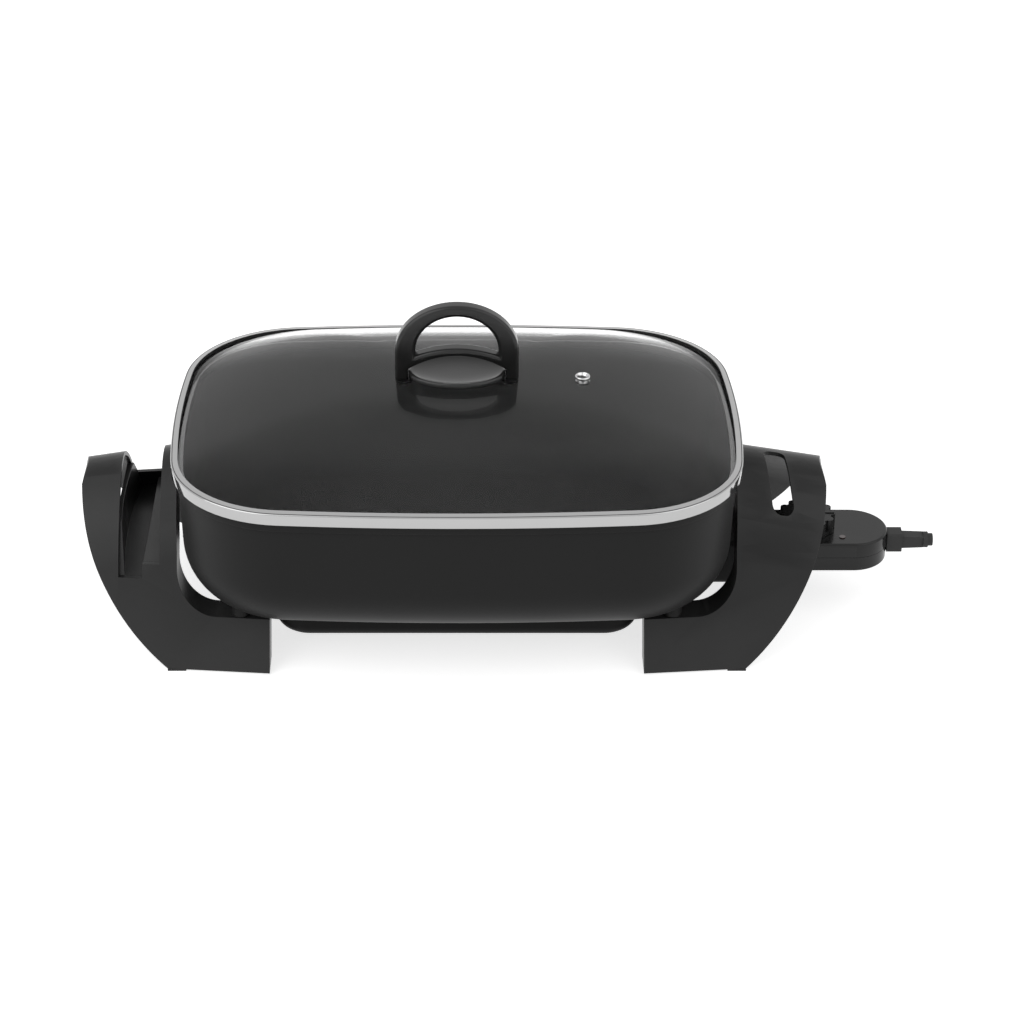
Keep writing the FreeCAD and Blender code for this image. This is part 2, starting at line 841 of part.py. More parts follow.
def make_ring():
    z0 = lid_z
    z1 = lid_z + ring_h
    skirt_in = pan_rim_inset + wall_step + pan_wall + skirt_gap
    wall = band(0.0, ring_sheet, z0, z1)
    top = band(0.0, ring_lip, z1 - ring_sheet, z1)
    floor = band(0.0, skirt_in + ring_sheet, z0, z0 + ring_sheet)
    skirt = band(skirt_in, skirt_in + ring_sheet, z0 - skirt_depth, z0 + ring_sheet)
    return one(wall.fuse(top).fuse(floor).fuse(skirt))


def make_gasket(blank):
    space = band(ring_sheet, ring_lip, lid_z + ring_sheet, lid_z + ring_h - ring_sheet)
    return max(space.cut(blank).Solids, key=lambda s: s.Volume)


def make_vent(glass):
    z = dome_z(vent_x)
    under = z - glass_t
    body = rod(vent_flange_r, z - vent_sink, z + vent_flange_h, vent_x, vent_y)
    top = [e for e in body.Edges if abs(e.BoundBox.ZMin - z - vent_flange_h) < 1e-6]
    body = body.makeFillet(vent_edge_r, top)
    body = body.fuse(rod(vent_tube_r, under - vent_tail, z, vent_x, vent_y))
    body = body.fuse(rod(vent_flange_r, under - vent_nut_h, under + vent_nut_sink, vent_x, vent_y))
    body = body.cut(rod(vent_bore_r, 0, big, vent_x, vent_y))
    body = body.cut(glass)
    return max(body.Solids, key=lambda s: s.Volume)


def make_knob():
    y = -arch_depth / 2
    z = knob_z
    w = arch_half_w
    spring = z + arch_spring_h
    outer_rise = arch_top_h - arch_spring_h

    def at(x, h):
        return Vector(x, y, h)

    def half_ellipse(rx, rz, zc):
        if rx > rz:
            curve = Part.Ellipse(at(rx, zc), at(0, zc + rz), at(0, zc))
        else:
            curve = Part.Ellipse(at(0, zc + rz), at(rx, zc), at(0, zc))
        return curve.toShape()

    below = z - knob_sink
    full = Part.Face(Part.Wire([half_ellipse(w, outer_rise, spring)])).extrude(Vector(0, arch_depth, 0))
    dome = full.common(block(-big, big, -big, big, spring, big))
    legs = block(-w, w, y, -y, below, spring)
    body = dome.fuse(legs).removeSplitter()
    iw = w - arch_wall_side
    top_in = arch_top_h - arch_wall_top
    hole_z = bridge_top_h - hole_drop
    inner_face = half_ellipse(iw, top_in - hole_z, z + hole_z)
    inner = Part.Face(Part.Wire([inner_face])).extrude(Vector(0, arch_depth, 0))
    inner = inner.common(block(-big, big, -big, big, z + bridge_top_h - bridge_rise, big))
    rx = iw + ramp_over
    end_z = z + bridge_top_h - bridge_rise - hole_drop
    ramp = Part.Wire([
        Part.Arc(at(-rx, end_z), at(0, z + bridge_top_h), at(rx, end_z)).toShape(),
        Part.makeLine(at(rx, end_z), at(rx, below)),
        Part.makeLine(at(rx, below), at(-rx, below)),
        Part.makeLine(at(-rx, below), at(-rx, end_z)),
    ])
    inner = inner.cut(Part.Face(ramp).extrude(Vector(0, arch_depth, 0)))
    dx = dish_half_x + dish_gap
    lens = Part.Wire([
        Part.Arc(at(-dx, z + bridge_end_h), at(0, z + bridge_bottom_h), at(dx, z + bridge_end_h)).toShape(),
        Part.makeLine(at(dx, z + bridge_end_h), at(dx, below - over)),
        Part.makeLine(at(dx, below - over), at(-dx, below - over)),
        Part.makeLine(at(-dx, below - over), at(-dx, z + bridge_end_h)),
    ])
    lens_cut = Part.Face(lens).extrude(Vector(0, arch_depth, 0))
    body = one(body.cut(inner).cut(lens_cut))
    round_edges = [e for e in body.Edges if e.BoundBox.YLength < 1e-3 and e.BoundBox.ZMax > below + over]
    body = body.makeFillet(arch_edge_r, round_edges)
    body = body.cut(dome_solid(0.0))
    for x in (-knob_screw_x(), knob_screw_x()):
        body = body.cut(rod(knob_screw_r + screw_fit, 0, z + knob_hole_h, x, 0))
    return max(body.Solids, key=lambda s: s.Volume)


def ellipse_plate(rx, ry, z0, z1):
    curve = Part.Ellipse(Vector(rx, 0, z0), Vector(0, ry, z0), Vector(0, 0, z0))
    return Part.Face(Part.Wire([curve.toShape()])).extrude(Vector(0, 0, z1 - z0))


def make_knob_dish():
    z = knob_z
    body = ellipse_plate(dish_half_x, dish_half_y, z - dish_sink, z + dish_h)
    rim = [e for e in body.Edges if abs(e.BoundBox.ZMin - z - dish_h) < 1e-6]
    body = body.makeFillet(dish_edge_r, rim)
    rx = dish_half_x - dish_rim_w
    ry = dish_half_y - dish_rim_w
    bowl_r = (rx * rx + dish_hollow ** 2) / (2 * dish_hollow)
    ball = Part.makeSphere(bowl_r, Vector(0, 0, z + dish_h - dish_hollow + bowl_r), X_DIR)
    scoop = ball.common(ellipse_plate(rx, ry, z, z + dish_h + over))
    return one(body.cut(scoop).cut(dome_solid(0.0)))


def under_glass_z():
    return dome_z(knob_screw_x()) - glass_t - washer_drop


def make_knob_screws():
    screws = []
    for x in (-knob_screw_x(), knob_screw_x()):
        z = under_glass_z() - knob_washer_t
        length = knob_washer_t + glass_t + knob_screw_grip
        screws.append(screw_up(x, 0, z, knob_screw_r, length, knob_screw_head_r, knob_screw_head_h))
    return group(screws)


def make_knob_washers(glass):
    washers = []
    for x in (-knob_screw_x(), knob_screw_x()):
        z = under_glass_z()
        disc = rod(knob_washer_r, z - knob_washer_t, z + washer_rise, x, 0)
        disc = disc.cut(rod(knob_screw_r + screw_hole_gap, 0, big, x, 0)).cut(glass)
        washers.append(max(disc.Solids, key=lambda s: s.Volume))
    return group(washers)


def probe_plan(inset, z0, z1):
    # The control's body from above: straight sides and a half-round end
    r = probe_half_y - inset
    cx = probe_end_x - probe_half_y
    body = block(probe_back_x + inset, cx, -r, r, z0, z1)
    return body.fuse(rod(r, z0, z1, cx, 0)).removeSplitter()


def nose_block(inset, z0, z1, x1):
    half = nose_half_y - inset
    return block(nose_end_x + inset, x1, -half, half, z0, z1)


def probe_outside():
    body = probe_plan(0.0, probe_low_z, probe_top_z)
    edges = [e for e in body.Edges if e.BoundBox.ZLength < 1e-6 and e.BoundBox.XMax > probe_back_x + over]
    body = body.makeFillet(probe_edge_r, edges)
    nose = nose_block(0.0, nose_low_z, nose_top_z, probe_back_x + nose_overlap)
    along = [e for e in nose.Edges if e.BoundBox.XLength > 10]
    return body.fuse(nose.makeFillet(nose_edge_r, along))


def probe_hollow():
    t = probe_wall
    body = probe_plan(t, probe_low_z + t, probe_top_z - t)
    nose = nose_block(t, nose_low_z + t, nose_top_z - t, probe_back_x + nose_overlap)
    return body.fuse(nose)


def gland_root_block(x1):
    # The strain relief's square root, from inside the control out to x1
    half_w = gland_sleeve_w / 2
    return block(probe_end_x - gland_root, x1, -half_w, half_w, gland_axis_z - half_w, gland_axis_z + half_w)


def post_places():
    back_x = probe_back_x + post_back_x
    front_x = probe_end_x - probe_half_y + post_front_x
    return [(back_x, post_back_y), (back_x, -post_back_y), (front_x, post_front_y), (front_x, -post_front_y)]


def probe_shell(keep_low):
    body = probe_outside().cut(probe_hollow())
    for x, y in post_places():
        body = body.fuse(rod(post_r, probe_low_z + probe_wall / 2, probe_top_z - probe_wall / 2, x, y))
    body = body.cut(gland_root_block(probe_end_x + over))
    for y in (-cold_end_y, cold_end_y):
        body = body.cut(rod_x(pin_r + pin_hole_gap, nose_end_x - over, nose_in_x + over, y, conn_z))
    body = body.cut(rod_x(rod_r, nose_end_x - over, nose_in_x + over, 0, conn_z))
    body = body.cut(rod(shaft_r + shaft_fit, probe_split_z, probe_top_z + over, dial_x, 0))
    for x, y in post_places():
        body = body.cut(rod(probe_screw_r + screw_fit, 0, probe_split_z + post_grip, x, y))
        body = body.cut(rod(probe_screw_head_r + probe_head_gap, 0, probe_low_z + probe_screw_sink, x, y))
    half = probe_split_gap / 2
    if keep_low:
        body = body.common(block(0, big, -big, big, 0, probe_split_z - half))
    else:
        body = body.cut(rod(lens_r + lens_fit, probe_split_z, probe_top_z + over, lens_x, lens_y))
        body = body.common(block(0, big, -big, big, probe_split_z + half, big))
    return max(body.removeSplitter().Solids, key=lambda s: s.Volume)


def make_probe_screws():
    z = probe_low_z + probe_screw_sink
    length = probe_split_z + post_grip - probe_screw_spare - probe_low_z
    return group([screw_up(x, y, z, probe_screw_r, length, probe_screw_head_r, probe_screw_head_h)
                  for x, y in post_places()])


def make_gland():
    # Strain relief where the mains cord leaves the control
    x = probe_end_x
    z = gland_axis_z
    collar_end = x + gland_collar_len
    sleeve_end = collar_end + gland_sleeve_len
    ring_end = sleeve_end + gland_ring_len
    stub_end = ring_end + gland_stub_len

    def square(px, w, h):
        pts = [Vector(px, sy * w / 2, z + sz * h / 2) for sy, sz in ((-1, -1), (1, -1), (1, 1), (-1, 1))]
        return Part.makePolygon(pts + pts[:1])

    collar = block(x, collar_end, -gland_collar_w / 2, gland_collar_w / 2, z - gland_collar_h / 2,
                   z + gland_collar_h / 2)
    along = [e for e in collar.Edges if e.BoundBox.XLength > 5]
    collar = collar.makeFillet(gland_edge_r, along)
    sleeve = Part.makeLoft([square(collar_end, gland_sleeve_w, gland_sleeve_w),
                            square(sleeve_end, gland_sleeve_end_w, gland_sleeve_end_w)], True, True)
    body = collar.fuse(sleeve).fuse(gland_root_block(x))
    body = body.fuse(rod_x(gland_ring_r, sleeve_end, ring_end, 0, z))
    body = body.fuse(rod_x(gland_stub_r, ring_end, stub_end, 0, z))
    return one(body.cut(rod_x(gland_bore_r, x - gland_root - over, stub_end + over, 0, z)))


def make_sensor_rod():
    body = rod_x(rod_r, rod_tip_x, switch_x, 0, conn_z)
    tip = [e for e in body.Edges if abs(e.BoundBox.XMax - rod_tip_x) < 1e-6 and e.BoundBox.XLength < 1e-6]
    return body.makeFillet(rod_tip_fillet, tip)


def make_contacts():
    # Spring sleeves that grip the pan's two pins
    sleeves = []
    for y in (-cold_end_y, cold_end_y):
        end_x = nose_in_x + sleeve_len
        tube = rod_x(pin_r + sleeve_wall, nose_in_x, end_x, y, conn_z)
        tube = tube.cut(rod_x(pin_r + shaft_fit, nose_in_x - over, nose_in_x + sleeve_bore_len, y, conn_z))
        lug = block(end_x, switch_x, y - lug_half_w, y + lug_half_w, conn_z - lug_half_t, conn_z + lug_half_t)
        sleeves.append(one(tube.fuse(lug)))
    return group(sleeves)


def make_thermostat():
    # Bimetal switch block with its blades, under the dial's shaft
    low = probe_low_z + probe_wall
    half = switch_post_half
    base = block(switch_x, dial_x + switch_reach, -switch_half_y, switch_half_y, low, low + switch_base_h)
    post = block(dial_x - half, dial_x + half, -half, half, low, shaft_low_z - switch_post_gap)
    base = base.fuse(post)
    blade_z = shaft_low_z - blade_low
    for y in (-blade_pitch, 0.0, blade_pitch):
        base = base.fuse(block(switch_x + blade_in, dial_x - blade_in, y - blade_half_w, y + blade_half_w,
                               blade_z, blade_z + blade_t))
    return one(base)


def make_lens():
    return rod(lens_r, probe_top_z - lens_sink, probe_top_z + lens_proud, lens_x, lens_y)


def make_dial():
    z0 = probe_top_z + dial_gap
    z1 = z0 + dial_h
    lobe_x = dial_r - dial_lobe_r
    body = rod(dial_skirt_r, z0, z0 + dial_skirt_h, dial_x, 0).fuse(rod(dial_grip_r, z0, z1, dial_x, 0))
    for i in range(dial_lobes):
        a = 2 * math.pi * i / dial_lobes
        body = body.fuse(rod(dial_lobe_r, z0, z1, dial_x + lobe_x * math.cos(a), lobe_x * math.sin(a)))
    pointer = block(dial_x + pointer_in, dial_x + dial_r - over, -pointer_half_w, pointer_half_w,
                    z1 - pointer_sink, z1 + pointer_proud)
    body = body.removeSplitter().fuse(pointer)
    return one(body.cut(rod(shaft_r, z0 - over, z1 - dial_roof, dial_x, 0)))


def make_shaft():
    top = probe_top_z + dial_gap + dial_h - dial_roof
    collar_z = probe_top_z - probe_wall - collar_gap
    collar = rod(shaft_r + collar_w, collar_z - collar_h, collar_z, dial_x, 0)
    return one(rod(shaft_r, shaft_low_z, top, dial_x, 0).fuse(collar))


def main():
    os.makedirs("parts", exist_ok=True)
    blank = glass_blank()
    glass = make_glass(blank)
    save("pan_body", make_pan())
    save("heating_element", make_element())
    save("element_clips", make_element_clips())
    save("terminal_pins", make_terminals())
    save("terminal_beads", make_terminal_bushes())
    save("bottom_cover", make_bottom_cover())
    save("bottom_cover_screws", make_cover_screws())
    save("socket_housing", make_socket())
    save("left_handle", make_left_handle())
    save("right_handle", make_right_handle())
    save("lid_rest_channel", make_lid_rest())
    save("handle_screws", make_handle_screws())
    save("foot_pads", make_foot_pads())
    save("lid_glass", glass)
    save("lid_ring", make_ring())
    save("lid_gasket", make_gasket(blank))
    save("steam_vent", make_vent(glass))
    save("lid_handle", make_knob())
    save("lid_handle_dish", make_knob_dish())
    save("lid_handle_screws", make_knob_screws())
    save("lid_handle_washers", make_knob_washers(glass))
    save("control_lower_shell", probe_shell(True))
    save("control_upper_shell", probe_shell(False))
    save("control_screws", make_probe_screws())
    save("cord_strain_relief", make_gland())
    save("sensor_rod", make_sensor_rod())
    save("contact_sleeves", make_contacts())
    save("thermostat", make_thermostat())
    save("indicator_lens", make_lens())
    save("temperature_dial", make_dial())
    save("dial_shaft", make_shaft())


main()
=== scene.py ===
import json
import math

import bmesh
import bpy
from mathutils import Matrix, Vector


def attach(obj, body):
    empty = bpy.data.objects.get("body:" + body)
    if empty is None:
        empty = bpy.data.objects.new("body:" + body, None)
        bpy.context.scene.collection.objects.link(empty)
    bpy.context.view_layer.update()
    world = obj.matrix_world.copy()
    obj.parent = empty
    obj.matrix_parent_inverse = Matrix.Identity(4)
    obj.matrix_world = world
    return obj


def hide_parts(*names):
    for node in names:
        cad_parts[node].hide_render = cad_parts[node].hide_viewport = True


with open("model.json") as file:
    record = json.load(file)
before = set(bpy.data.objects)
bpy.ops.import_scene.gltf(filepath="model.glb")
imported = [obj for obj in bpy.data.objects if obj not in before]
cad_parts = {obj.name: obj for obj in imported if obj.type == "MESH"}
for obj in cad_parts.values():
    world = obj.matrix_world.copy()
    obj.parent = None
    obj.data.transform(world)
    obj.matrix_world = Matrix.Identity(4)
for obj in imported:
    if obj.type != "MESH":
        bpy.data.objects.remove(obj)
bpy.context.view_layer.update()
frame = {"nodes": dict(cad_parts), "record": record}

# Electric skillet. Metres, in the same frame as the solids: the pan's middle is x = y = 0 and the
# table is z = 0. Lengths of the skillet are written in millimetres through mm.


def mm(value):
    return value / 1000.0


# Lid ring's outline, seen from above
RING_HALF_X = mm(200.0)
RING_HALF_Y = mm(147.0)
RING_CORNER_R = mm(83.3)
LONG_SIDE_R = mm(1672.0)
SHORT_SIDE_R = mm(782.0)
LONG_STEPS = 16
CORNER_STEPS = 18
SHORT_STEPS = 12

# Pan
PAN_TOP = mm(139.7)
PAN_LOW = mm(43.0)
PAN_RIM_INSET = mm(3.0)
PAN_RIM_H = mm(6.0)
PAN_STEP = mm(1.4)
PAN_WALL = mm(3.2)
PAN_FLOOR = mm(4.0)
PAN_TAPER = math.radians(2.0)
PAN_BOTTOM_R = mm(45.0)
WALL_DROP = mm(1.0)
RIM_FOOT_DROP = mm(0.6)
RIM_FOOT_R = mm(0.8)
RIM_TOP_R = mm(1.2)
MOUTH_DROP = mm(1.5)
WALL_STEPS = 6
BEND_STEPS = 14
FLOOR_SCALES = (0.94, 0.82, 0.66, 0.48, 0.3, 0.14, 0.04)
# Last rings of the rim, which already have the inside's coat
MOUTH_RINGS = 3

# Bosses between the pan and the handles' arms
BOSS_X = mm(151.5)
BOSS_Y = mm(82.0)
BOSS_R = mm(6.5)
BOSS_LOW = mm(34.5)
BOSS_NECK = mm(41.5)
BOSS_HIGH = mm(46.3)
BOSS_CHAMFER = mm(0.8)
BOSS_FLARE = mm(0.5)
BOSS_SIDES = ((-1, -1), (1, -1), (1, 1), (-1, 1))
TURNED_STEPS = 40

# Lid: steel ring, glass dome and vent eyelet
LID_LOW = mm(140.0)
RING_H = mm(9.4)
RING_SHEET = mm(0.8)
RING_LIP = mm(5.0)
RING_FALL = mm(1.1)
SKIRT_GAP = mm(0.7)
SKIRT_DROP = mm(6.0)
RING_RADII = [mm(r) for r in (0.7, 1.3, 0.38, 0.3, 0.4, 0.3, 0.6, 0.3, 0.3, 0.3)]
GLASS_T = mm(3.6)
GLASS_INSET = mm(1.8)
GLASS_EDGE = mm(145.5)
GLASS_HALF_X = RING_HALF_X - GLASS_INSET
GLASS_ROUND_TOP = mm(0.6)
GLASS_ROUND_LOW = mm(0.5)
GLASS_LOW_SCALE = 0.998
DOME_H = mm(35.5)
DOME_POWER = 2.6
DOME_SCALES = (1.0, 0.99, 0.975, 0.955, 0.93, 0.9, 0.865, 0.825, 0.78, 0.73, 0.67, 0.6, 0.52, 0.43,
               0.33, 0.22, 0.11, 0.03)
VENT_X = mm(88.5)
VENT_Y = mm(4.0)
# Radius, and height above the glass, both in millimetres
VENT_PROFILE = ((2.2, -6.4), (2.2, -5.6), (3.1, -5.2), (3.1, -0.4), (4.0, 0.6), (4.4, 1.2), (4.7, 1.5),
                (5.0, 1.4), (5.25, 1.1), (5.35, 0.6), (5.3, -0.5), (3.6, -0.5), (3.6, -3.9),
                (5.2, -3.9), (5.35, -4.6), (5.0, -5.8), (3.6, -6.0), (3.4, -6.4), (2.2, -6.4))

# Lid handle: loop with a low bridge, and the thumb dish in front of and behind it
KNOB_Z = GLASS_EDGE + DOME_H
ARCH_HALF_W = mm(43.3)
ARCH_DEPTH = mm(11.0)
ARCH_SPRING = mm(19.0)
ARCH_TOP = mm(54.7)
ARCH_SIDE = mm(14.3)
ARCH_CROWN = mm(8.3)
ARCH_EDGE_R = mm(2.6)
ARCH_FOOT_DEPTH = mm(3.5)
ARCH_STEPS = 48
HOLE_STEPS = 40
BRIDGE_TOP = mm(22.0)
BRIDGE_LOW = mm(16.1)
BRIDGE_END = mm(5.6)
BRIDGE_DIP = mm(2.0)
BRIDGE_FALL = mm(5.5)
BRIDGE_TOP_STEPS = 20
BRIDGE_LOW_STEPS = 24
EDGE_STEPS = 5
DISH_X = mm(34.0)
DISH_Y = mm(23.0)
DISH_H = mm(3.6)
DISH_GAP = mm(0.3)
DISH_FOOT = mm(0.4)
DISH_STEPS = 96
DISH_UNDER_SCALES = (0.03, 0.6, 0.999)
# Share of the dish's outline, and millimetres below its rim
DISH_PROFILE = ((1.0, 1.3), (0.985, 0.5), (0.955, 0.0), (0.93, 0.05), (0.90, 0.4), (0.8, 1.15),
                (0.6, 1.9), (0.35, 2.3), (0.12, 2.4), (0.03, 2.4))

# Shading and rounding of meshes
ROUNDING_STEPS = 5
ROUNDING_REACH = 0.49
FLAT_WEIGHT = 90
CURVE_MERGE = 1e-6
SOLID_MERGE = 2e-6
SOLID_FLAT = math.radians(0.8)
SOLID_SHARP = math.radians(30.0)
SOLID_SEGMENTS = 3

# Camera, fitted to the photograph's 1024 by 1024 frame
SENSOR_MM = 36.0
FOCAL_PX = 2900.4
FRAME_PX = 1024.0
CENTRE_U = 456.9
CAM_PITCH = math.radians(29.593)
CAM_PLACE = (0.0, -1.8190, 1.1028)
CAM_REACH = 60.0

# Light on the object, and the floor with what it adds where it is seen
WORLD_LEVEL = 0.45
LAMP_SIZE = 2.4
LAMP_TARGET = (0.0, 0.0, 0.1)
FLOOR_HALF = 14.0
FLOOR_PAPER = 0.80
FLOOR_GLOW = 0.72


class Link:
    """An output of a node, with arithmetic that adds Math nodes."""

    def __init__(self, finish, socket):
        self.finish = finish
        self.socket = socket

    def _math(self, operation, first, second):
        return self.finish.node("ShaderNodeMath", {"operation": operation}, {0: first, 1: second})

    def __add__(self, other):
        return self._math("ADD", self, other)

    def __radd__(self, other):
        return self._math("ADD", other, self)

    def __sub__(self, other):
        return self._math("SUBTRACT", self, other)

    def __rsub__(self, other):
        return self._math("SUBTRACT", other, self)

    def __mul__(self, other):
        return self._math("MULTIPLY", self, other)

    def __rmul__(self, other):
        return self._math("MULTIPLY", other, self)

    def clamp(self):
        return self.finish.node("ShaderNodeClamp", {}, {"Value": self})


class Finish:
    """The node tree of a material or of the world. Every node in it comes from node()."""

    def __init__(self, owner, output="ShaderNodeOutputMaterial"):
        owner.use_nodes = True
        self.owner = owner
        self.output = output
        self.tree = owner.node_tree
        self.tree.nodes.clear()

    def node(self, kind, settings, inputs, output=0):
        """Adds a node: its settings first, then its sockets' values or links. Gives one output."""
        made = self.tree.nodes.new(kind)
        for key, value in settings.items():
            if key == "stops":
                set_stops(made.color_ramp, value)
            else:
                setattr(made, key, value)
        for key, value in inputs.items():
            if isinstance(value, Link):
                self.tree.links.new(value.socket, made.inputs[key])
            else:
                made.inputs[key].default_value = value
        return Link(self, made.outputs[output]) if made.outputs else None

    def place(self):
        return self.node("ShaderNodeTexCoord", {}, {}, "Object")

    def stretch(self, scale):
        return self.node("ShaderNodeVectorMath", {"operation": "MULTIPLY"}, {0: self.place(), 1: scale})

    def noise(self, scale, detail, roughness, place=None):
        inputs = {"Vector": place or self.place(), "Scale": scale, "Detail": detail,
                  "Roughness": roughness}
        return self.node("ShaderNodeTexNoise", {}, inputs)

    def ramp(self, value, stops):
        return self.node("ShaderNodeValToRGB", {"stops": stops}, {"Fac": value})

    def level(self, colour):
        """The red part of a grey colour, as a number."""
        return self.node("ShaderNodeSeparateColor", {}, {0: colour})

    def mix(self, factor, first, second):
        """Mixes two colours; 0, 6, 7 and 2 are the sockets that a Mix node uses for colours."""
        return self.node("ShaderNodeMix", {"data_type": "RGBA"}, {0: factor, 6: first, 7: second}, 2)

    def edge_highlight_mask(self):
        """Mask of the painted edge highlight: 0 on flat and hollow places, 1 along the sharp edges."""
        flat = 0.502
        edge_glint = 0.54
        point = self.node("ShaderNodeNewGeometry", {}, {}, "Pointiness")
        return self.level(self.ramp(point, [(flat, grey(0.0)), (edge_glint, grey(1.0))]))

    def bump(self, height, distance, strength):
        inputs = {"Height": height, "Distance": distance, "Strength": strength}
        return self.node("ShaderNodeBump", {}, inputs)

    def ray(self, name):
        return self.node("ShaderNodeLightPath", {}, {}, name)

    def surface(self, **sockets):
        inputs = {key.replace("_", " "): value for key, value in sockets.items()}
        return self.show(self.node("ShaderNodeBsdfPrincipled", {}, inputs))

    def show(self, shader):
        self.node(self.output, {}, {"Surface": shader})
        return self.owner


def set_stops(ramp, stops):
    while len(ramp.elements) < len(stops):
        ramp.elements.new(0.5)
    for element, (place, colour) in zip(ramp.elements, stops):
        element.position = place
        element.color = colour


def grey(level):
    return (level, level, level, 1.0)


def new_finish(name):
    return Finish(bpy.data.materials.new(name))


def moulded_plastic(name, colour, rough, grain=0.00004, gloss=0.22):
    """Phenolic or nylon moulding: fine spark grain, cloudy gloss, and sharp edges painted lighter as a
    painted highlight.
    """
    f = new_finish(name)
    cloud = f.noise(scale=38.0, detail=4.0, roughness=0.55)
    fine = f.noise(scale=2600.0, detail=2.0, roughness=0.6)
    edge_glint = f.edge_highlight_mask()
    plain = grey(colour * 0.9)
    # Painted highlight: the sharp edges get this lighter colour
    painted_highlight = grey(colour * 3.2)
    dull = grey(colour * 0.75)
    tone = f.mix(cloud * 0.35, f.mix(edge_glint * 0.6, plain, painted_highlight), dull)
    roughness = rough + (cloud - 0.5) * 0.12 - edge_glint * 0.06
    normal = f.bump(fine, distance=grain, strength=0.55)
    return f.surface(Base_Color=tone, Roughness=roughness, Normal=normal, Specular_IOR_Level=gloss)


def pan_coating(name, colour, rough, speckle):
    """Satin non-stick coat: tiny pale speckles, sprayed orange peel, slight gloss drift."""
    f = new_finish(name)
    cloud = f.noise(scale=14.0, detail=3.0, roughness=0.5)
    peel = f.noise(scale=900.0, detail=3.0, roughness=0.6)
    dots = f.node("ShaderNodeTexVoronoi", {}, {"Vector": f.place(), "Scale": 1500.0})
    dot_size = 0.16
    speckles = f.level(f.ramp(dots, [(0.0, grey(1.0)), (dot_size, grey(0.0))]))
    pale = grey(colour * 3.0 + 0.03)
    dull = grey(colour * 0.8)
    tone = f.mix(cloud * 0.3, f.mix(speckles * speckle, grey(colour), pale), dull)
    roughness = rough + (cloud - 0.5) * 0.08 + speckles * 0.05
    normal = f.bump(peel, distance=0.00005, strength=0.5)
    return f.surface(Base_Color=tone, Roughness=roughness, Normal=normal, Specular_IOR_Level=0.10)


def polished_steel(name, colour, rough, brushed=(1.0, 1.0, 1.0)):
    """Rolled and polished sheet: faint drawn lines and soft smears."""
    f = new_finish(name)
    lines = f.noise(scale=700.0, detail=2.0, roughness=0.5, place=f.stretch(brushed))
    smear = f.noise(scale=24.0, detail=4.0, roughness=0.6)
    smeared = grey(colour * 0.86)
    tone = f.mix(smear * 0.4, grey(colour), smeared)
    roughness = (rough + (lines - 0.5) * 0.06 + (smear - 0.5) * 0.08).clamp()
    normal = f.bump(lines, distance=0.000004, strength=0.35)
    return f.surface(Base_Color=tone, Roughness=roughness, Metallic=1.0, Normal=normal)


def clear_glass(name):
    """Lid glass, clear and thin, with faint wipe marks.

    Its index is below that of real glass, which keeps the reflection of the white studio weak.
    """
    f = new_finish(name)
    wipe = f.noise(scale=9.0, detail=5.0, roughness=0.6)
    waves = f.noise(scale=5.0, detail=1.0, roughness=0.4)
    normal = f.bump(waves, distance=0.0004, strength=0.12)
    return f.surface(Base_Color=grey(0.95), Roughness=wipe * 0.02, Transmission_Weight=1.0,
                     IOR=1.17, Normal=normal)


def soft_rubber(name, colour):
    """Rubber or silicone: dull and finely grained, with a little dust."""
    f = new_finish(name)
    grain = f.noise(scale=1200.0, detail=3.0, roughness=0.6)
    dust = f.noise(scale=60.0, detail=4.0, roughness=0.6)
    dusty = grey(colour * 1.6 + 0.004)
    tone = f.mix(dust * 0.4, grey(colour), dusty)
    normal = f.bump(grain, distance=0.00006, strength=0.6)
    return f.surface(Base_Color=tone, Roughness=0.62 + dust * 0.14, Normal=normal)


def glazed_ceramic(name):
    """Off-white insulator ceramic with a thin glaze."""
    f = new_finish(name)
    cloud = f.noise(scale=300.0, detail=3.0, roughness=0.5)
    bright = (0.78, 0.75, 0.68, 1.0)
    stained = (0.66, 0.63, 0.57, 1.0)
    tone = f.mix(cloud, bright, stained)
    normal = f.bump(cloud, distance=0.0001, strength=0.3)
    return f.surface(Base_Color=tone, Roughness=0.3 + cloud * 0.2, Normal=normal)


def tinted_lens(name):
    """Indicator lens, unlit: nearly black, with a touch of red."""
    f = new_finish(name)
    cloud = f.noise(scale=400.0, detail=2.0, roughness=0.5)
    deep = (0.030, 0.008, 0.006, 1.0)
    clear = (0.045, 0.011, 0.008, 1.0)
    tone = f.mix(cloud, deep, clear)
    return f.surface(Base_Color=tone, Roughness=0.12 + cloud * 0.05, Coat_Weight=0.6)


